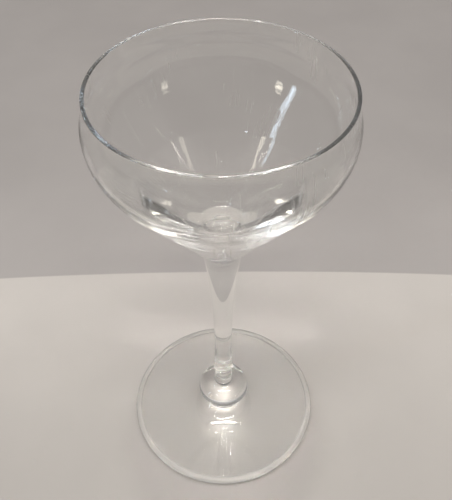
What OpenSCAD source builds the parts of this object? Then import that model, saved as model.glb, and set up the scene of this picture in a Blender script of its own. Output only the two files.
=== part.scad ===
// Stemmed cocktail glass in four pieces of clear glass, fused end to end:
// a deep bowl with a V-shaped flank, a drawn stem, a flattened round knop and a flat foot.
// Every piece is a body of revolution about Z. Lengths are in millimetres.
// The origin lies on the table, under the middle of the foot, and +Z points up.

/* [Glass] */
// Height from the table to the rim
glass_h = 160; // [150:1:172]

/* [Bowl] */
// Height of the bowl, from its joint with the stem to the rim
bowl_h = 61; // [54:0.5:68]
// Outer diameter at the rim
rim_d = 72.6; // [66:0.2:75]
// Outer diameter at the belly, the widest place
belly_d = 76.2; // [74:0.2:84]
// Drop from the rim to the belly
belly_drop = 11; // [8:0.5:14]
// Height of the straight flank above the joint with the stem
flank_h = 27.4; // [20:0.2:32]
// Outer diameter at the top of the straight flank
flank_d = 53.8; // [46:0.2:60]
// Diameter of the joint between the bowl and the stem
seat_d = 15; // [12:0.1:18]
// Wall thickness from the rim to the belly
wall_t = 1.1; // [0.8:0.05:1.8]
// Wall thickness at the top of the straight flank
flank_t = 1.6; // [1.2:0.05:2.4]
// Thickness of glass from the joint up to the lowest place inside
base_t = 8.8; // [6:0.1:11]
// Radius across the rounded bottom inside
well_r = 7.6; // [5:0.1:10]
// Height over which that bottom is rounded, as half an ellipse
well_h = 2.5; // [1:0.1:6]

/* [Stem] */
// Diameter of the stem at its waist, the thinnest place
waist_d = 6.6; // [5:0.1:9]
// Height of the waist above the joint with the knop
waist_h = 11; // [6:0.5:20]
// Diameter of the stem at its joint with the knop
stem_foot_d = 7.2; // [6:0.1:9]
// Radius of the rounded edge at the lower end of the stem
seam_r = 0.5; // [0.1:0.05:0.8]
// Length over which the stem turns into the line of the flank
seat_blend = 3; // [1:0.1:6]

/* [Knop] */
// Diameter of the round part
knop_d = 20.4; // [16:0.1:26]
// Height of the round part, measured as a whole bead
knop_h = 12; // [10:0.1:16]
// Diameter at which the round part turns into the neck
neck_root_d = 9.6; // [8.6:0.1:13]
// Diameter of the neck above the round part
neck_d = 7; // [6:0.1:7.8]
// Height above the crown of the round part at which the neck is straight
neck_start_h = 1.4; // [1:0.1:3]
// Height of the neck and collar, from the crown of the round part to the joint with the stem
neck_h = 11.8; // [9:0.1:16]
// Diameter of the collar at its widest
collar_d = 7.8; // [7.4:0.1:9]
// Height of the collar under the joint with the stem
collar_h = 5.2; // [3:0.1:6]
// Diameter of the joint between the knop and the foot
knop_foot_d = 10.4; // [8:0.1:13]

/* [Foot] */
// Outer diameter of the foot
foot_d = 76.2; // [70:0.2:84]
// Height of the foot at its joint with the knop
foot_h = 8.4; // [5.5:0.1:10]
// Thickness of the foot at its rounded edge
foot_edge_t = 2.6; // [1.8:0.1:3]
// Length over which the edge is rounded, inwards from the outermost place
foot_edge_w = 2.4; // [1:0.1:3.6]
// Height of the foot where the boss starts to rise
foot_plate_t = 3.4; // [3:0.1:4.6]
// Diameter at which the boss starts to rise
boss_d = 26; // [20:0.5:36]
// Width of the flat ring that the glass stands on
ring_w = 4; // [2:0.1:6]
// Height of the hollow under the middle of the foot
hollow_h = 0.9; // [0.4:0.1:1.4]

/* [Hidden] */
// Every node, from the table up
// The node that is drawn, or all of them
$fn = 192;
// Segments in each curved stretch of an outline
curve_steps = 20;
// Segments in each small rounded edge
edge_steps = 8;
// Clear glass with a faint cool tint
glass_colour = [0.86, 0.9, 0.9, 0.45];

// Lengths of the shoulder curve's two handles, as shares of the curve's span
shoulder_low_share = 0.38;
shoulder_top_share = 0.36;
// Lengths of the two handles of the curve from the belly to the rim
rim_low_share = 0.4;
rim_top_share = 0.45;
// Handle lengths of the stem's curves, as shares of the heights that they span
stem_taper_share = 0.54;
stem_foot_share = 0.5;
// Handle lengths of the curve between the round part and the neck
neck_low_share = 0.35;
neck_top_share = 0.45;
// Heights of the two handles that shape the collar, as shares of its height
collar_low_share = 0.25;
collar_top_share = 0.9;
// Weight of the curve's ends and of its handles at its middle
end_share = 0.125;
handle_share = 0.375;
// Handle lengths of the boss, as shares of its width and its height
boss_low_share = 0.6;
boss_top_share = 0.5;

// Middle of the knop's round part above its joint with the foot
knop_mid_h = knop_h / 2 * sqrt(1 - pow(knop_foot_d / knop_d, 2));
// Heights of the pieces' joints above the table
knop_z = foot_h;
stem_z = knop_z + knop_mid_h + knop_h / 2 + neck_h;
bowl_z = glass_h - bowl_h;

// Outer corners of the bowl's outline: joint, top of the flank and belly
seat_pt = [seat_d / 2, bowl_z];
flank_pt = [flank_d / 2, bowl_z + flank_h];
belly_pt = [belly_d / 2, glass_h - belly_drop];
// Direction of the straight flank, upwards
flank_dir = unit(flank_pt - seat_pt);

// Unit vector along v
function unit(v) = v / norm(v);

// Point at the share t of the cubic curve with the corners a, b, c and d
function bezier(a, b, c, d, t) =
    pow(1 - t, 3) * a + 3 * pow(1 - t, 2) * t * b + 3 * (1 - t) * pow(t, 2) * c + pow(t, 3) * d;

// Points of that curve after its first one
function curve(a, b, c, d, steps = curve_steps) =
    [for (i = [1:steps]) bezier(a, b, c, d, i / steps)];

// Points of an elliptical arc from one angle to another, with its first one
function arc(centre, rx, rz, from, to, steps = curve_steps) =
    [for (i = [0:steps]) let (angle = from + (to - from) * i / steps)
        centre + [rx * cos(angle), rz * sin(angle)]];

// Curve from the flank's top to the belly: it leaves along the flank and arrives upright
function shoulder(low, top) =
    let (span = norm(top - low))
    curve(low, low + shoulder_low_share * span * flank_dir,
        top - [0, shoulder_top_share * span], top);

// Curve from the belly to the lip, upright at both ends
function upper_wall(low, top) =
    let (rise = top[1] - low[1])
    curve(low, low + [0, rim_low_share * rise], top - [0, rim_top_share * rise], top);

// The same points in the other order
function reversed(points) = [for (i = [len(points) - 1:-1:0]) points[i]];

// Solid of revolution of an outline made of [radius, height] points
module lathe(outline) {
    rotate_extrude() polygon(outline);
}

module bowl() {
    lip_z = glass_h - wall_t / 2;
    lip_mid = [rim_d / 2 - wall_t / 2, lip_z];
    outer_lip = [rim_d / 2, lip_z];
    inner_lip = outer_lip - [wall_t, 0];
    inner_belly = belly_pt - [wall_t, 0];
    inner_flank = flank_pt + flank_t * [-flank_dir[1], flank_dir[0]];
    // The straight inner flank runs down to touch the round bottom. The angle at which it does
    // is found with heights stretched until the bottom is part of a circle
    well_mid = [0, bowl_z + base_t + well_h];
    reach = inner_flank - well_mid;
    stretched = [reach[0], reach[1] * well_r / well_h];
    touch = atan2(stretched[1], stretched[0]) - acos(well_r / norm(stretched));
    outside = concat([seat_pt, flank_pt], shoulder(flank_pt, belly_pt),
        upper_wall(belly_pt, outer_lip));
    inside = concat([inner_flank], shoulder(inner_flank, inner_belly),
        upper_wall(inner_belly, inner_lip));
    color(glass_colour) lathe(concat([[0, bowl_z]], outside,
        arc(lip_mid, wall_t / 2, wall_t / 2, 0, 180, edge_steps),
        reversed(inside), arc(well_mid, well_r, well_h, touch, -90, 2 * curve_steps)));
}

module stem() {
    waist_pt = [waist_d / 2, stem_z + waist_h];
    foot_pt = [stem_foot_d / 2, stem_z + seam_r];
    taper = [0, stem_taper_share * (bowl_z - waist_pt[1])];
    ease = [0, stem_foot_share * (waist_pt[1] - foot_pt[1])];
    color(glass_colour) lathe(concat([[0, stem_z]],
        arc(foot_pt - [seam_r, 0], seam_r, seam_r, -90, 0, edge_steps),
        curve(foot_pt, foot_pt + ease, waist_pt - ease, waist_pt),
        curve(waist_pt, waist_pt + taper, seat_pt - seat_blend * flank_dir, seat_pt),
        [[0, bowl_z]]));
}

module knop() {
    ball_r = knop_d / 2;
    ball_half = knop_h / 2;
    ball_mid = [0, knop_z + knop_mid_h];
    root_angle = acos(neck_root_d / knop_d);
    root_pt = ball_mid + [ball_r * cos(root_angle), ball_half * sin(root_angle)];
    root_dir = unit([-ball_r * sin(root_angle), ball_half * cos(root_angle)]);
    neck_pt = [neck_d / 2, ball_mid[1] + ball_half + neck_start_h];
    span = norm(neck_pt - root_pt);
    collar_pt = [neck_d / 2, stem_z - collar_h];
    joint_pt = [stem_foot_d / 2 - seam_r, stem_z];
    // Radius of the two handles that carries the collar out to its widest
    handle_r = (collar_d / 2 - end_share * (collar_pt[0] + joint_pt[0])) / (2 * handle_share);
    color(glass_colour) lathe(concat([[0, knop_z]],
        arc(ball_mid, ball_r, ball_half, -acos(knop_foot_d / knop_d), root_angle, 2 * curve_steps),
        curve(root_pt, root_pt + neck_low_share * span * root_dir,
            neck_pt - [0, neck_top_share * span], neck_pt),
        [collar_pt],
        curve(collar_pt, [handle_r, collar_pt[1] + collar_low_share * collar_h],
            [handle_r, collar_pt[1] + collar_top_share * collar_h], joint_pt),
        [[0, stem_z]]));
}

module foot() {
    edge_r = foot_edge_t / 2;
    edge_mid = [foot_d / 2 - foot_edge_w, edge_r];
    ring_pt = [edge_mid[0] - ring_w, 0];
    top_edge = [edge_mid[0], foot_edge_t];
    boss_pt = [boss_d / 2, foot_plate_t];
    joint_pt = [knop_foot_d / 2, knop_z];
    plate_dir = unit(boss_pt - top_edge);
    rise = joint_pt - boss_pt;
    color(glass_colour) lathe(concat([[0, hollow_h]],
        curve([0, hollow_h], [ring_pt[0] / 2, hollow_h], [ring_pt[0] / 2, 0], ring_pt),
        arc(edge_mid, foot_edge_w, edge_r, -90, 90, curve_steps),
        [boss_pt],
        curve(boss_pt, boss_pt - boss_low_share * rise[0] * plate_dir,
            joint_pt - [0, boss_top_share * rise[1]], joint_pt),
        [[0, knop_z]]));
}

foot();
knop();
stem();
bowl();
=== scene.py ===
"""Dresses a stemmed cocktail glass in clear glass: bowl, stem, knop and foot, on a pale table."""

import math
from collections import namedtuple

import bpy
import numpy as np
from bpy.props import FloatProperty, FloatVectorProperty, IntProperty, PointerProperty
from bpy.types import Operator, Panel, PropertyGroup
from mathutils import Euler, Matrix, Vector


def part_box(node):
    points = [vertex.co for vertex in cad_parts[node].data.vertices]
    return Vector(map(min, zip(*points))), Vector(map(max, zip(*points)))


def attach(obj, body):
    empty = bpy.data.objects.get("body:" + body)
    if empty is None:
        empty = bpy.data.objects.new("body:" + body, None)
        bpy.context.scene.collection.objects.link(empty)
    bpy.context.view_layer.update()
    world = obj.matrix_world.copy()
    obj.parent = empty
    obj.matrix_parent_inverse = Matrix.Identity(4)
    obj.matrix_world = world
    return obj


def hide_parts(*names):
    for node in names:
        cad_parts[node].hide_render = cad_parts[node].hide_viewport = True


bl_info = {
    "name": "Stemmed cocktail glass",
    "version": (1, 0, 0),
    "blender": (4, 5, 0),
    "location": "3D View > Sidebar > Glass",
    "description": "Clear glass bowl, stem, knop and foot as surfaces of revolution, with a plain soft stage",
    "category": "Object",
}

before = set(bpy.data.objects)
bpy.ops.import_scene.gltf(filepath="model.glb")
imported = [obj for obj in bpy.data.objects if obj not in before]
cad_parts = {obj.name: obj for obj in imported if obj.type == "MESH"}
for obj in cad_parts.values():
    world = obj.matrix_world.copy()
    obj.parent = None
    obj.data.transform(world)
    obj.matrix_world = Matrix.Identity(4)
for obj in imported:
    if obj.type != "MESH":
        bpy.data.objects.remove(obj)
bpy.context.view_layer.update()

# Lowest and highest corners of the four solids, in metres. The foot stands on the table, at 0
BOWL_LOW, BOWL_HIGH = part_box("bowl")
STEM_LOW, STEM_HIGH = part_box("stem")
KNOP_LOW, KNOP_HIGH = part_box("knop")
_, FOOT_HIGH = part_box("foot")

MM = 0.001
TURN = 2 * math.pi
QUARTER = math.pi / 2

# Where a curve's two handles stand: shares of its span, its width or its height, measured from each end
SHOULDER_LOW, SHOULDER_TOP = 0.38, 0.36
UPPER_LOW, UPPER_TOP = 0.4, 0.45
TAPER, EASE = 0.54, 0.5
NECK_LOW, NECK_TOP = 0.35, 0.45
COLLAR_LOW, COLLAR_TOP = 0.25, 0.1
BOSS_LOW, BOSS_TOP = 0.6, 0.5
# Weight of each end of such a curve at its middle, and of its two handles together
END_WEIGHT, HANDLES_WEIGHT = 1 / 8, 3 / 4
# Faces along each stretch of the outlines of the bowl, the stem, the knop and the foot, and along other curves
FLANK_STEPS, SHOULDER_STEPS, UPPER_STEPS, WELL_STEPS, LIP_STEPS = 24, 36, 24, 32, 12
TAPER_STEPS, SEAM_STEPS = 60, 8
BALL_STEPS, NECK_STEPS = 72, 8
HOLLOW_STEPS, EDGE_STEPS, PLATE_STEPS, BOSS_STEPS = 32, 32, 16, 32
CURVE_STEPS = 24
# How far inside a radius a ring still counts as lying on it
SLACK = 0.01 * MM

# Share of the wear that each piece shows: hands and cloths reach the bowl most, and the stem and knop least
BOWL_WEAR, FOOT_WEAR, STEM_WEAR, KNOP_WEAR = 1.0, 0.6, 0.3, 0.3
# Hair scratches: their turns in radians, each with the noise features a metre of the patches that they lie in
SCRATCHES = ((0.25, 38), (-0.55, 47), (1.2, 59))
# Noise features a metre across a scratch, a mark from wiping and a ripple
HAIR_SCALE, WIPE_SCALE, RIPPLE_SCALE = 2600, 160, 70
# How many times longer than wide scratches and marks from wiping are, and the turn of these marks in radians
HAIR_STRETCH, WIPE_STRETCH, WIPE_TURN = 45, 9, 0.1
# Levels of the noise between which scratches, their patches and the marks from wiping come in
HAIR_LEVELS, PATCH_LEVELS, WIPE_LEVELS = (0.70, 0.76), (0.50, 0.66), (0.50, 0.72)

# Half the side of the ground, and how far it lies under the foot
GROUND_HALF = 4.0
GROUND_DROP = 0.05 * MM
# Bow of the table's back edge: it comes forward by this times the square of the sideways distance
EDGE_BOW = 0.25
# Places before and after the back edge between which it blurs, and the blurred width of the other edges
BACK_BLUR = (-0.4 * MM, 0.6 * MM)
EDGE_BLUR = 3 * MM
# Painted shade on the ground along Y, as two places and the tone at each: darker towards the camera, and
# darker with distance behind the table
NEAR_PAINTED_SHADE = (-0.06, 0.075, 0.80, 1.0)
FAR_PAINTED_SHADE = (0.085, 0.19, 1.0, 0.89)
# Faint clouds in the ground: noise features a metre, levels of the noise and the tones at these
CLOUD_SCALE, CLOUD_TONES = 14, (0.3, 0.7, 0.97, 1.03)

# Parts of the room, as heights z or depths y of a direction between which each comes in or goes
CEILING_Z, CEILING_Y = (0.72, 0.90), (0.12, 0.34)
WALL_Z, NEAR_Y = (0.56, 0.84), (-0.52, -0.26)
# Lamps by name: the setting with the power, the direction in degrees, the distance, the height of the point
# that the lamp faces, its own width and height, and its colour
Lamp = namedtuple("Lamp", "power azimuth elevation distance aim_z width height tone")
SKY, WARM = (0.72, 0.86, 1.0), (1.0, 0.94, 0.8)
LAMPS = {
    "key": Lamp("key_power", 180, 74.5, 1.2, 0.06, 0.8, 0.05, (1.0, 0.96, 0.9)),
    "ceiling_lamp": Lamp("ceiling_power", 0, 84.8, 1.6, 0.06, 0.10, 0.06, (1.0, 0.97, 0.9)),
    "window": Lamp("window_power", -112.5, 24, 1.5, 0.12, 0.11, 0.66, SKY),
    "pane": Lamp("pane_power", -144, 47, 1.5, 0.11, 0.08, 0.10, SKY),
    "left_lamp": Lamp("left_power", -126, 21, 1.5, 0.11, 0.15, 0.23, WARM),
    "right_lamp": Lamp("right_power", 128, 21, 1.5, 0.11, 0.15, 0.23, WARM),
}
# Most bounces of a ray in all, and through or off glass, and the blur of mirrored light after a rough bounce
MOST_BOUNCES, GLASS_BOUNCES, GLOSSY_BLUR = 64, 48, 0.2

# The camera: focal length in pixels of a picture 500 pixels high, side of the sensor in millimetres, nearest
# distance that it sees, and its place and turn
FOCAL, PICTURE_H, SENSOR, NEAREST = 643.0, 500, 36, 0.01
CAMERA_PLACE = (0, -144.42 * MM, 252.90 * MM)
CAMERA_TURN = (0.748565, 0.001822, -0.010388)


def length(name, description, default):
    """A size in metres, shown to a hundredth of a millimetre."""
    return FloatProperty(name=name, description=description, default=default, precision=5, unit="LENGTH")


def power(name, description, default):
    """The power of a lamp in watts."""
    return FloatProperty(name=name, description=description, default=default, min=0, unit="POWER")


def share(name, description, default):
    """A plain number from 0 to 1."""
    return FloatProperty(name=name, description=description, default=default, min=0, max=1, precision=3)


def count(name, description, default):
    """A number of faces, enough to look round."""
    return IntProperty(name=name, description=description, default=default, min=32)


def colour(name, description, default):
    """A linear colour without alpha."""
    return FloatVectorProperty(name=name, description=description, default=default, size=3,
                               subtype="COLOR", min=0, max=1)


class BowlSettings(PropertyGroup):
    """Sizes of the bowl, which is thin at the rim and solid at the base."""

    rim_r: length("Rim radius", "Outer radius at the rim", 36.3 * MM)
    belly_r: length("Belly radius", "Outer radius at the widest place", BOWL_HIGH.x)
    belly_drop: length("Belly drop", "Drop from the rim to the belly", 11 * MM)
    flank_h: length("Flank height", "Height of the straight flank above the joint", 27.4 * MM)
    flank_r: length("Flank radius", "Outer radius at the top of the flank", 26.9 * MM)
    wall_t: length("Wall", "Wall thickness from the rim to the belly", 1.1 * MM)
    flank_t: length("Flank wall", "Wall thickness at the top of the flank", 1.6 * MM)
    base_t: length("Base", "Glass between the joint and the lowest place inside", 8.8 * MM)
    well_r: length("Well radius", "Radius across the rounded bottom inside", 7.6 * MM)
    well_h: length("Well height", "Height over which the bottom inside is rounded, half an ellipse", 2.5 * MM)
    segments: count("Segments", "Faces round the axis", 384)


class StemSettings(PropertyGroup):
    """Sizes of the drawn stem."""

    waist_r: length("Waist radius", "Radius at the thinnest place", 3.3 * MM)
    waist_h: length("Waist height", "Height of the waist above the joint with the knop", 11 * MM)
    low_r: length("Lower radius", "Radius at the joint with the knop", 3.6 * MM)
    blend: length("Blend", "Length over which the stem turns into the line of the flank", 3 * MM)
    segments: count("Segments", "Faces round the axis", 160)


class KnopSettings(PropertyGroup):
    """Sizes of the round knop, its neck and the collar under the stem."""

    ball_r: length("Knop radius", "Radius of the round part", KNOP_HIGH.x)
    ball_half: length("Half height", "Half the height of the round part as a whole bead", 6.0 * MM)
    root_r: length("Root radius", "Radius at which the round part turns into the neck", 4.8 * MM)
    neck_r: length("Neck radius", "Radius of the neck above the round part", 3.5 * MM)
    neck_low: length("Neck start", "Height above the crown at which the neck is straight", 1.4 * MM)
    collar_r: length("Collar radius", "Radius of the collar at its widest", 3.9 * MM)
    collar_h: length("Collar height", "Height of the collar under the joint with the stem", 5.2 * MM)
    low_r: length("Lower radius", "Radius at which the bead alone would stand on the foot", 5.2 * MM)
    weld_r: length("Weld radius", "Radius of the fused seam with the foot, wider than the bead's", 7.6 * MM)
    seam_r: length("Seam rounding", "Radius of the rounded end of the stem", 0.5 * MM)
    segments: count("Segments", "Faces round the axis", 192)


class FootSettings(PropertyGroup):
    """Sizes of the flat foot."""

    edge_t: length("Edge", "Thickness at the rounded edge", 2.6 * MM)
    edge_w: length("Edge width", "Length over which the edge is rounded, from the outermost place", 2.4 * MM)
    plate_t: length("Plate", "Height where the boss starts to rise", 3.4 * MM)
    boss_r: length("Boss radius", "Radius at which the boss starts to rise", 18 * MM)
    ring_w: length("Ring", "Width of the flat ring that the glass stands on", 4 * MM)
    hollow_h: length("Hollow", "Height of the hollow under the middle", 0.9 * MM)
    segments: count("Segments", "Faces round the axis", 480)


class GlassFinish(PropertyGroup):
    """Colour and surface of the clear glass."""

    tint: colour("Tint", "Colour that each surface lets through", (0.985, 0.99, 0.985))
    ior: FloatProperty(name="IOR", description="Index of refraction of soda-lime glass", default=1.52)
    polish: share("Polish", "Roughness of the fire-polished surface", 0.0)
    wear: share("Wear", "Roughness inside a scratch", 0.28)
    haze: share("Haze", "Roughness inside a mark left by wiping", 0.012)
    ripple: length("Ripple", "Height of the slow waves in the surface", 0.02 * MM)
    # Painted glow: the foot's edge is made whitish and cloudy so that it shows a pale band in place of the
    # light that gathers in the pressed edge
    edge_glow_tint: colour("Edge tint", "Colour of the milky edge of the foot", (0.992, 0.972, 0.94))
    edge_glow_clear: share("Edge clearness", "Share of light that the milky edge of the foot lets through", 0.72)


class StageSettings(PropertyGroup):
    """Table, background and lamps."""

    table_back: length("Back edge", "Distance from the glass to the back edge of the table", 75 * MM)
    table_front: length("Front edge", "Distance from the glass to the front edge of the table", 312 * MM)
    table_side: length("Side edge", "Distance from the glass to the sides of the table", 700 * MM)
    table_colour: colour("Table", "Colour of the pale table", (0.575, 0.545, 0.52))
    wall_colour: colour("Background", "Colour of the greyer ground behind the table", (0.410, 0.387, 0.380))
    gloom_colour: colour("Gloom", "Colour beyond the table's front and sides", (0.06, 0.055, 0.05))
    world_colour: colour("Room", "Colour of the room's soft light", (1.0, 0.965, 0.93))
    near_level: share("Near side", "Brightness of the room on the camera's side", 0.085)
    low_level: share("Low walls", "Brightness that the walls behind and beside the table add", 0.15)
    slope_level: share("Upper walls", "Brightness that the upper walls add", 0.60)
    ceiling_level: FloatProperty(name="Ceiling", description="Brightness that the ceiling adds over the table",
                                 default=0.70, min=0)
    key_power: power("Key lamp", "Power of the long lamp high above the camera", 4.6)
    ceiling_power: power("Ceiling lamp", "Power of the lamp overhead, gathered on the foot by the bowl", 3.5)
    window_power: power("Window", "Power of the tall window at the left", 1.8)
    pane_power: power("Upper pane", "Power of the upper pane of that window", 0.5)
    left_power: power("Left lamp", "Power of the warm lamp at the left, seen in the base of the bowl", 0.9)
    right_power: power("Right lamp", "Power of the warm lamp at the right, seen in the base of the bowl", 0.45)


# Curves of the outlines


def bezier(corners, steps=CURVE_STEPS):
    """Points of the cubic curve (1-t)^3 a + 3(1-t)^2 t b + 3(1-t) t^2 c + t^3 d, without its first."""
    a, b, c, d = (np.asarray(p, float) for p in corners)
    t = np.linspace(0, 1, steps + 1)[1:, None]
    return (1 - t) ** 3 * a + 3 * (1 - t) ** 2 * t * b + 3 * (1 - t) * t ** 2 * c + t ** 3 * d


def arc(middle, rx, rz, start, stop, steps):
    """Points middle + (rx cos g, rz sin g) for g from start to stop, with the first one."""
    g = np.linspace(start, stop, steps + 1)
    return np.asarray(middle, float) + np.stack([rx * np.cos(g), rz * np.sin(g)], 1)


def line(start, stop, steps):
    """Evenly spaced points from start to stop, without the first one."""
    t = np.linspace(0, 1, steps + 1)[1:, None]
    return np.asarray(start, float) * (1 - t) + np.asarray(stop, float) * t


def unit(v):
    """v divided by its length."""
    return v / np.linalg.norm(v)


# Meshes


def lathe(name, outline, segments, fused, milky_glow=()):
    """Turns an outline of (radius, height) points about Z: the point (r, z) at the angle g lies at
    (r cos g, r sin g, z). The outline starts and ends on the axis, where fans of triangles close it.
    fused holds the rows whose strip of faces is a joint: those faces get the second material, and the rows in
    milky_glow the third, which on the foot is the whitish cloudy glass of a painted pale glow band."""
    ring = outline[1:-1]
    rows = len(ring)
    g = np.linspace(0, TURN, segments, endpoint=False)
    x = ring[:, :1] * np.cos(g)
    y = ring[:, :1] * np.sin(g)
    z = np.repeat(ring[:, 1:], segments, 1)
    body = np.stack([x, y, z], 2).reshape(-1, 3)
    poles = np.array([[0, 0, outline[0, 1]], [0, 0, outline[-1, 1]]])
    verts = np.concatenate([body, poles])
    low_pole, high_pole = rows * segments, rows * segments + 1
    i, j = np.meshgrid(np.arange(rows - 1), np.arange(segments), indexing="ij")
    k = (j + 1) % segments
    quads = np.stack([i * segments + j, i * segments + k, (i + 1) * segments + k, (i + 1) * segments + j], 2)
    quads = quads.reshape(-1, 4)
    j = np.arange(segments)
    k = (j + 1) % segments
    first = np.stack([np.full(segments, low_pole), k, j], 1)
    last = (rows - 1) * segments
    final = np.stack([last + j, last + k, np.full(segments, high_pole)], 1)
    mesh = bpy.data.meshes.new(name)
    mesh.from_pydata(verts, [], first.tolist() + quads.tolist() + final.tolist())
    strip = np.repeat(np.arange(rows + 1), segments)
    slots = np.isin(strip, fused) + 2 * np.isin(strip, milky_glow)
    mesh.polygons.foreach_set("material_index", slots.astype(np.int32))
    mesh.polygons.foreach_set("use_smooth", np.ones(len(strip), bool))
    sharpen(mesh, fused_edges(fused, rows), segments)
    mesh.update()
    obj = bpy.data.objects.new(name, mesh)
    bpy.context.scene.collection.objects.link(obj)
    return obj


def fused_edges(fused, rows):
    """The rings where a joint face meets the outer surface: strip 0 ends at ring 0, and the top strip starts
    at the last ring."""
    return [0 if strip == 0 else rows - 1 for strip in fused]


def rows_beyond(outline, radius):
    """The rows of a lathe's faces that lie wholly on or beyond a radius."""
    out = outline[1:-1, 0] > radius - SLACK
    return 1 + np.flatnonzero(out[:-1] & out[1:])


def sharpen(mesh, rings, segments):
    """Marks the edges along the given rings sharp, so that each side keeps its own normals."""
    ends = np.empty(2 * len(mesh.edges), np.int32)
    mesh.edges.foreach_get("vertices", ends)
    ring_of = ends.reshape(-1, 2) // segments
    sharp = (ring_of[:, 0] == ring_of[:, 1]) & np.isin(ring_of[:, 0], rings)
    mark = mesh.attributes.new("sharp_edge", "BOOLEAN", "EDGE")
    mark.data.foreach_set("value", sharp)


def bowl_outline(s):
    """Up the outside from the joint, over the rounded lip and down the inside to the well."""
    low_z, rim_z = BOWL_LOW.z, BOWL_HIGH.z
    seat = np.array([STEM_HIGH.x, low_z])
    flank = np.array([s.flank_r, low_z + s.flank_h])
    belly = np.array([s.belly_r, rim_z - s.belly_drop])
    along = unit(flank - seat)
    lip = np.array([s.rim_r, rim_z - s.wall_t / 2])
    inner_lip = lip - [s.wall_t, 0]
    inner_belly = belly - [s.wall_t, 0]
    inner_flank = flank + s.flank_t * np.array([-along[1], along[0]])
    well = np.array([0, low_z + s.base_t + s.well_h])
    reach = (inner_flank - well) * [1, s.well_r / s.well_h]
    touch = math.atan2(reach[1], reach[0]) - math.acos(s.well_r / np.linalg.norm(reach))
    well_arc = arc(well, s.well_r, s.well_h, touch, -QUARTER, WELL_STEPS)
    outside = np.concatenate([
        line(seat, flank, FLANK_STEPS), shoulder(flank, belly, along), upper_wall(belly, lip)])
    inside = np.concatenate([
        [inner_flank], shoulder(inner_flank, inner_belly, along), upper_wall(inner_belly, inner_lip)])
    lip_r = s.wall_t / 2
    lip_arc = arc(lip - [lip_r, 0], lip_r, lip_r, 0, math.pi, LIP_STEPS)[1:-1]
    flank_line = line(inner_flank, well_arc[0], FLANK_STEPS)[:-1]
    return np.concatenate([[[0, low_z]], [seat], outside, lip_arc, inside[::-1], flank_line, well_arc])


def shoulder(low, top, along):
    """Curve from the flank's top to the belly: it leaves along the flank and arrives upright."""
    span = np.linalg.norm(top - low)
    handles = low + SHOULDER_LOW * span * along, top - [0, SHOULDER_TOP * span]
    return bezier([low, *handles, top], SHOULDER_STEPS)


def upper_wall(low, top):
    """Curve from the belly to the lip, upright at both ends."""
    rise = top[1] - low[1]
    return bezier([low, low + [0, UPPER_LOW * rise], top - [0, UPPER_TOP * rise], top], UPPER_STEPS)


def stem_outline(s, seam_r, flank):
    """Up from the seam with the knop, over the waist and out to the seat of the bowl."""
    low_z, high_z = STEM_LOW.z, STEM_HIGH.z
    low = np.array([s.low_r, low_z + seam_r])
    waist = np.array([s.waist_r, low_z + s.waist_h])
    seat = np.array([STEM_HIGH.x, high_z])
    taper = np.array([0, TAPER * (high_z - waist[1])])
    ease = np.array([0, EASE * (waist[1] - low[1])])
    along = unit(np.asarray(flank) - seat)
    return np.concatenate([
        [[0, low_z]], arc(low - [seam_r, 0], seam_r, seam_r, -QUARTER, 0, SEAM_STEPS),
        bezier([low, low + ease, waist - ease, waist]),
        bezier([waist, waist + taper, seat - s.blend * along, seat], TAPER_STEPS), [[0, high_z]]])


def knop_outline(s, joint_r):
    """Up the short upright wall of the seam with the foot and round the bead, through a hollow curve into the
    neck, and over the collar to the joint with the stem."""
    low_z, high_z = KNOP_LOW.z, KNOP_HIGH.z
    middle = np.array([0, low_z + s.ball_half * math.sqrt(1 - (s.low_r / s.ball_r) ** 2)])
    start = -math.acos(s.weld_r / s.ball_r)
    stop = math.acos(s.root_r / s.ball_r)
    ball = arc(middle, s.ball_r, s.ball_half, start, stop, BALL_STEPS)
    leave = unit(np.array([-s.ball_r * math.sin(stop), s.ball_half * math.cos(stop)]))
    neck = np.array([s.neck_r, middle[1] + s.ball_half + s.neck_low])
    span = np.linalg.norm(neck - ball[-1])
    root = bezier([ball[-1], ball[-1] + NECK_LOW * span * leave, neck - [0, NECK_TOP * span], neck])
    collar = np.array([s.neck_r, high_z - s.collar_h])
    joint = np.array([joint_r, high_z])
    handle = (s.collar_r - END_WEIGHT * (s.neck_r + joint_r)) / HANDLES_WEIGHT
    bulge = bezier([collar, [handle, collar[1] + COLLAR_LOW * s.collar_h],
                    [handle, high_z - COLLAR_TOP * s.collar_h], joint])
    return np.concatenate([
        [[0, low_z], [s.weld_r, low_z]], ball, root, line(neck, collar, NECK_STEPS), bulge, [[0, high_z]]])


def foot_outline(s, joint_r):
    """Out over the hollow and the resting ring, round the edge and in over the plate to the boss."""
    high_z = FOOT_HIGH.z
    edge_r = s.edge_t / 2
    edge = np.array([FOOT_HIGH.x - s.edge_w, edge_r])
    ring = np.array([edge[0] - s.ring_w, 0])
    half = ring[0] / 2
    top_edge = np.array([edge[0], s.edge_t])
    boss = np.array([s.boss_r, s.plate_t])
    joint = np.array([joint_r, high_z])
    inwards = unit(boss - top_edge)
    rise = joint - boss
    handles = boss - BOSS_LOW * rise[0] * inwards, joint - [0, BOSS_TOP * rise[1]]
    return np.concatenate([
        [[0, s.hollow_h]], bezier([[0, s.hollow_h], [half, s.hollow_h], [half, 0], ring], HOLLOW_STEPS),
        arc(edge, s.edge_w, edge_r, -QUARTER, QUARTER, EDGE_STEPS), line(top_edge, boss, PLATE_STEPS),
        bezier([boss, *handles, joint], BOSS_STEPS), [[0, high_z]]])


# Materials


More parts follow.
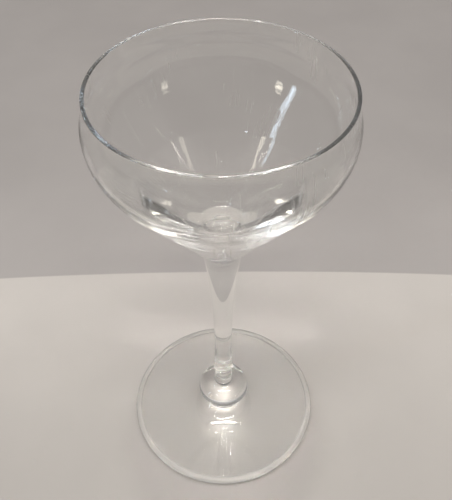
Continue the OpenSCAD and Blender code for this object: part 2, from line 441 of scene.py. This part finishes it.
class Shader:
    """Small helper that adds nodes to a new material, or to a world, and links them."""

    def __init__(self, name="", world=None):
        self.owner = world or bpy.data.materials.new(name)
        self.owner.use_nodes = True
        self.tree = self.owner.node_tree
        self.tree.nodes.clear()
        self.out = self.add("ShaderNodeOutputWorld" if world else "ShaderNodeOutputMaterial")

    def add(self, kind, values=(), **settings):
        """Adds a node, sets its attributes and the sockets named in values."""
        node = self.tree.nodes.new(kind)
        for key, value in settings.items():
            setattr(node, key, value)
        for key, value in dict(values).items():
            node.inputs[key].default_value = value
        return node

    def link(self, start, stop):
        """Joins an output socket to an input socket."""
        self.tree.links.new(start, stop)

    def places(self):
        """Object coordinates."""
        return self.add("ShaderNodeTexCoord").outputs["Object"]

    def split(self, vector):
        """The X, Y and Z of a vector."""
        node = self.add("ShaderNodeSeparateXYZ")
        self.link(vector, node.inputs["Vector"])
        return node.outputs["X"], node.outputs["Y"], node.outputs["Z"]

    def unrolled(self, radius):
        """Places on a round surface rolled out flat: the angle round Z times a radius, and the height."""
        x, y, z = self.split(self.places())
        join = self.add("ShaderNodeCombineXYZ")
        self.link(self.math("MULTIPLY", self.math("ARCTAN2", y, x), radius), join.inputs["X"])
        self.link(z, join.inputs["Y"])
        return join.outputs["Vector"]

    def turned(self, places, turn, stretch):
        """Places turned about Z, then drawn out along the turned Y, which makes a pattern longer that way."""
        mapping = self.add("ShaderNodeMapping", {"Scale": (1, 1 / stretch, 1), "Rotation": (0, 0, turn)})
        self.link(places, mapping.inputs["Vector"])
        return mapping.outputs["Vector"]

    def noise(self, scale, detail, places=None):
        """Noise from 0 to 1 at scale features a metre."""
        node = self.add("ShaderNodeTexNoise", {"Scale": scale, "Detail": detail})
        self.link(places or self.places(), node.inputs["Vector"])
        return node.outputs["Fac"]

    def remap(self, value, low, high, to_low, to_high):
        """Carries a value smoothly from one range to another, held at both ends."""
        node = self.add("ShaderNodeMapRange", interpolation_type="SMOOTHSTEP", values={
            "From Min": low, "From Max": high, "To Min": to_low, "To Max": to_high})
        self.link(value, node.inputs["Value"])
        return node.outputs["Result"]

    def blend(self, kind, factor, a, b):
        """Two colours joined by a Mix node; each may be a socket."""
        node = self.add("ShaderNodeMix", data_type="RGBA", blend_type=kind)
        for socket, value in ((node.inputs["Factor"], factor), (node.inputs["A"], a), (node.inputs["B"], b)):
            if isinstance(value, (int, float, tuple)):
                socket.default_value = value
            else:
                self.link(value, socket)
        return node.outputs["Result"]

    def math(self, operation, a, b):
        """Two values joined by an operation; either may be a number."""
        node = self.add("ShaderNodeMath", operation=operation)
        for socket, value in zip(node.inputs, (a, b)):
            if isinstance(value, (int, float)):
                socket.default_value = value
            else:
                self.link(value, socket)
        return node.outputs["Value"]


def clear_glass(name, finish, radius, wear, tint=None, clear=1.0):
    """Clear glass with slow ripples, sparse hair scratches in three directions and soft marks from wiping.
    A radius rolls a round wall out flat under the marks; without one they lie on the flat foot. wear scales
    them. clear below 1 makes the glass cloudy and whitish, in the colour tint, which on the foot's edge paints
    a pale glow band."""
    sh = Shader(name)
    glass = sh.add("ShaderNodeBsdfPrincipled", {
        "Base Color": (*(tint or finish.tint), 1), "IOR": finish.ior, "Metallic": 0.0,
        "Transmission Weight": clear})
    flat = sh.unrolled(radius) if radius else sh.places()
    rough = finish.polish
    for turn, patch_scale in SCRATCHES:
        lines = sh.noise(HAIR_SCALE, 0.0, sh.turned(flat, turn, HAIR_STRETCH))
        hairs = sh.remap(lines, *HAIR_LEVELS, 0.0, 1.0)
        patches = sh.remap(sh.noise(patch_scale, 1.0), *PATCH_LEVELS, 0.0, wear * finish.wear)
        rough = sh.math("MAXIMUM", rough, sh.math("MULTIPLY", hairs, patches))
    rubs = sh.noise(WIPE_SCALE, 1.0, sh.turned(flat, WIPE_TURN, WIPE_STRETCH))
    wipes = sh.remap(rubs, *WIPE_LEVELS, 0.0, wear * finish.haze)
    sh.link(sh.math("ADD", rough, wipes), glass.inputs["Roughness"])
    ripple = sh.add("ShaderNodeBump", {"Strength": 1.0, "Distance": finish.ripple})
    sh.link(sh.noise(RIPPLE_SCALE, 1.0), ripple.inputs["Height"])
    sh.link(ripple.outputs["Normal"], glass.inputs["Normal"])
    sh.link(glass.outputs["BSDF"], sh.out.inputs["Surface"])
    return sh.owner


def fused_joint():
    """The inside of a fused joint, which nobody sees: light goes straight on from one piece to the next."""
    sh = Shader("fused_joint")
    through = sh.add("ShaderNodeBsdfTransparent")
    sh.link(through.outputs["BSDF"], sh.out.inputs["Surface"])
    return sh.owner


def table_and_wall(stage):
    """Matt paper-like ground: a pale table that painted shade darkens a little towards the camera, with a
    bowed back edge, a greyer ground behind it that painted shade darkens with distance, and gloom beyond its
    front and its sides."""
    sh = Shader("matt_ground")
    matt = sh.add("ShaderNodeBsdfPrincipled", {"Roughness": 0.85, "Specular IOR Level": 0.25})
    x, y, _ = sh.split(sh.places())
    back = sh.math("ADD", y, sh.math("MULTIPLY", sh.math("MULTIPLY", x, x), EDGE_BOW))
    behind = sh.remap(back, stage.table_back + BACK_BLUR[0], stage.table_back + BACK_BLUR[1], 0.0, 1.0)
    front = sh.remap(y, -stage.table_front - EDGE_BLUR, -stage.table_front, 1.0, 0.0)
    side = sh.remap(sh.math("ABSOLUTE", x, 0.0), stage.table_side, stage.table_side + EDGE_BLUR, 0.0, 1.0)
    tone = sh.blend("MIX", behind, (*stage.table_colour, 1), (*stage.wall_colour, 1))
    tone = sh.blend("MIX", sh.math("MAXIMUM", front, side), tone, (*stage.gloom_colour, 1))
    # Painted shade: the tone falls towards the camera and with distance behind the table
    painted_shade = sh.math("MULTIPLY", sh.remap(y, *NEAR_PAINTED_SHADE), sh.remap(y, *FAR_PAINTED_SHADE))
    cloud = sh.remap(sh.noise(CLOUD_SCALE, 4.0), *CLOUD_TONES)
    tone = sh.blend("MULTIPLY", 1.0, tone, sh.math("MULTIPLY", painted_shade, cloud))
    sh.link(tone, matt.inputs["Base Color"])
    sh.link(matt.outputs["BSDF"], sh.out.inputs["Surface"])
    return sh.owner


# Operators


def settle(obj, node, material):
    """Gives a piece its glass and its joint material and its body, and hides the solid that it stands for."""
    obj.data.materials.append(material)
    obj.data.materials.append(bpy.data.materials.get("fused_joint") or fused_joint())
    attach(obj, "root")
    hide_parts(node)


class GLASS_OT_bowl(Operator):
    """Makes the bowl with its rounded lip, belly, flank and solid base"""

    bl_idname = "cocktail_glass.bowl"
    bl_label = "Bowl"

    def execute(self, context):
        scene = context.scene
        outline = bowl_outline(scene.glass_bowl)
        bowl = lathe("glass_bowl", outline, scene.glass_bowl.segments, [0])
        glass = clear_glass("bowl_glass", scene.glass_finish, BOWL_HIGH.x, BOWL_WEAR)
        settle(bowl, "bowl", glass)
        return {"FINISHED"}


class GLASS_OT_stem(Operator):
    """Makes the drawn stem"""

    bl_idname = "cocktail_glass.stem"
    bl_label = "Stem"

    def execute(self, context):
        scene = context.scene
        bowl = scene.glass_bowl
        flank = (bowl.flank_r, BOWL_LOW.z + bowl.flank_h)
        outline = stem_outline(scene.glass_stem, scene.glass_knop.seam_r, flank)
        stem = lathe("glass_stem", outline, scene.glass_stem.segments, [0, len(outline) - 2])
        glass = clear_glass("stem_glass", scene.glass_finish, STEM_HIGH.x, STEM_WEAR)
        settle(stem, "stem", glass)
        return {"FINISHED"}


class GLASS_OT_knop(Operator):
    """Makes the round knop with its neck"""

    bl_idname = "cocktail_glass.knop"
    bl_label = "Knop"

    def execute(self, context):
        scene = context.scene
        outline = knop_outline(scene.glass_knop, scene.glass_stem.low_r - scene.glass_knop.seam_r)
        knop = lathe("glass_knop", outline, scene.glass_knop.segments, [0, len(outline) - 2])
        glass = clear_glass("knop_glass", scene.glass_finish, KNOP_HIGH.x, KNOP_WEAR)
        settle(knop, "knop", glass)
        return {"FINISHED"}


class GLASS_OT_foot(Operator):
    """Makes the flat foot with its boss, its hollow and its whitish edge glass, which paints a pale glow band
    """

    bl_idname = "cocktail_glass.foot"
    bl_label = "Foot"

    def execute(self, context):
        scene = context.scene
        outline = foot_outline(scene.glass_foot, scene.glass_knop.weld_r)
        # Rows of the rounded edge, which get the whitish glass of the painted glow band
        edge = rows_beyond(outline, FOOT_HIGH.x - scene.glass_foot.edge_w)
        foot = lathe("glass_foot", outline, scene.glass_foot.segments, [len(outline) - 2], edge)
        finish = scene.glass_finish
        settle(foot, "foot", clear_glass("foot_glass", finish, 0.0, FOOT_WEAR))
        # Third material: whitish, cloudy glass on the edge rows, a painted pale glow band
        foot.data.materials.append(clear_glass(
            "foot_edge_glass", finish, FOOT_HIGH.x, FOOT_WEAR, finish.edge_glow_tint, finish.edge_glow_clear))
        return {"FINISHED"}


def toward(azimuth, elevation, distance):
    """The place at a distance from the origin, azimuth degrees from +Y towards +X and elevation degrees up."""
    a, e = math.radians(azimuth), math.radians(elevation)
    return distance * math.cos(e) * math.sin(a), distance * math.cos(e) * math.cos(a), distance * math.sin(e)


def area_lamp(name, lamp, energy):
    """A rectangular lamp in its direction, facing the axis of the glass at the height aim_z."""
    data = bpy.data.lights.new(name, "AREA")
    data.shape = "RECTANGLE"
    data.size, data.size_y = lamp.width, lamp.height
    data.energy = energy
    data.color = lamp.tone
    obj = bpy.data.objects.new(name, data)
    place = toward(lamp.azimuth, lamp.elevation, lamp.distance)
    obj.location = place
    obj.rotation_euler = (Vector((0, 0, lamp.aim_z)) - Vector(place)).to_track_quat("-Z", "Y").to_euler()
    bpy.context.scene.collection.objects.link(obj)


class GLASS_OT_stage(Operator):
    """Makes the table, the lamps, the room and the camera"""

    bl_idname = "cocktail_glass.stage"
    bl_label = "Stage"

    def execute(self, context):
        scene = context.scene
        stage = scene.glass_stage
        half, low = GROUND_HALF, -GROUND_DROP
        mesh = bpy.data.meshes.new("table")
        corners = np.array([[-half, -half, low], [half, -half, low], [half, half, low], [-half, half, low]])
        mesh.from_pydata(corners, [], [[0, 1, 2, 3]])
        table = bpy.data.objects.new("table", mesh)
        scene.collection.objects.link(table)
        table.data.materials.append(table_and_wall(stage))
        for name, lamp in LAMPS.items():
            area_lamp(name, lamp, getattr(stage, lamp.power))
        world = bpy.data.worlds.new("room")
        room_light(world, stage)
        scene.world = world
        place_camera(scene)
        scene.view_settings.view_transform = "Standard"
        scene.cycles.max_bounces = MOST_BOUNCES
        scene.cycles.transmission_bounces = GLASS_BOUNCES
        scene.cycles.transparent_max_bounces = GLASS_BOUNCES
        scene.cycles.glossy_bounces = GLASS_BOUNCES
        scene.cycles.blur_glossy = GLOSSY_BLUR
        scene.cycles.sample_clamp_indirect = 0
        return {"FINISHED"}


def room_light(world, stage):
    """Soft room by direction: a bright ceiling over the table, dimmer walls beside and behind it that get
    brighter upwards, and a dark side behind the camera."""
    sh = Shader(world=world)
    _, y, z = sh.split(sh.add("ShaderNodeNewGeometry").outputs["Position"])
    upper = sh.remap(z, *CEILING_Z, 0.0, stage.ceiling_level)
    ceiling = sh.math("MULTIPLY", upper, sh.remap(y, *CEILING_Y, 1.0, 0.0))
    sides = sh.remap(z, *WALL_Z, stage.low_level, stage.low_level + stage.slope_level)
    far = sh.math("MULTIPLY", sh.math("ADD", sides, ceiling), sh.remap(y, *NEAR_Y, 0.0, 1.0))
    total = sh.math("ADD", far, stage.near_level)
    glow = sh.add("ShaderNodeBackground", {"Color": (*stage.world_colour, 1)})
    sh.link(total, glow.inputs["Strength"])
    sh.link(glow.outputs["Background"], sh.out.inputs["Surface"])


def place_camera(scene):
    """Puts the camera where the photograph was taken: in front, well above the rim, looking down."""
    data = bpy.data.cameras.new("camera")
    data.sensor_fit = "VERTICAL"
    data.sensor_height = data.sensor_width = SENSOR
    data.lens = FOCAL / PICTURE_H * SENSOR
    data.clip_start = NEAREST
    camera = bpy.data.objects.new("camera", data)
    camera.location = CAMERA_PLACE
    camera.rotation_euler = Euler(CAMERA_TURN)
    scene.collection.objects.link(camera)
    scene.camera = camera


class GLASS_PT_sidebar(Panel):
    """Lists the sizes and the buttons of the glass"""

    bl_idname = "GLASS_PT_sidebar"
    bl_label = "Stemmed cocktail glass"
    bl_space_type = "VIEW_3D"
    bl_region_type = "UI"
    bl_category = "Glass"

    def draw(self, context):
        for name in SETTINGS:
            group = getattr(context.scene, name)
            box = self.layout.box()
            box.label(text=type(group).__name__)
            for key in type(group).__annotations__:
                box.prop(group, key)
        for operator in OPERATORS:
            self.layout.operator(operator.bl_idname)


SETTINGS = {"glass_bowl": BowlSettings, "glass_stem": StemSettings, "glass_knop": KnopSettings,
            "glass_foot": FootSettings, "glass_finish": GlassFinish, "glass_stage": StageSettings}
OPERATORS = (GLASS_OT_bowl, GLASS_OT_stem, GLASS_OT_knop, GLASS_OT_foot, GLASS_OT_stage)


def register():
    """Registers the settings, the operators and the panel."""
    for name, group in SETTINGS.items():
        bpy.utils.register_class(group)
        setattr(bpy.types.Scene, name, PointerProperty(type=group))
    for cls in (*OPERATORS, GLASS_PT_sidebar):
        bpy.utils.register_class(cls)


def unregister():
    """Takes them away again."""
    for cls in (GLASS_PT_sidebar, *reversed(OPERATORS)):
        bpy.utils.unregister_class(cls)
    for name, group in SETTINGS.items():
        delattr(bpy.types.Scene, name)
        bpy.utils.unregister_class(group)


def main():
    """Makes every piece and the stage."""
    register()
    bpy.ops.cocktail_glass.bowl()
    bpy.ops.cocktail_glass.stem()
    bpy.ops.cocktail_glass.knop()
    bpy.ops.cocktail_glass.foot()
    bpy.ops.cocktail_glass.stage()


if __name__ == "__main__":
    main()
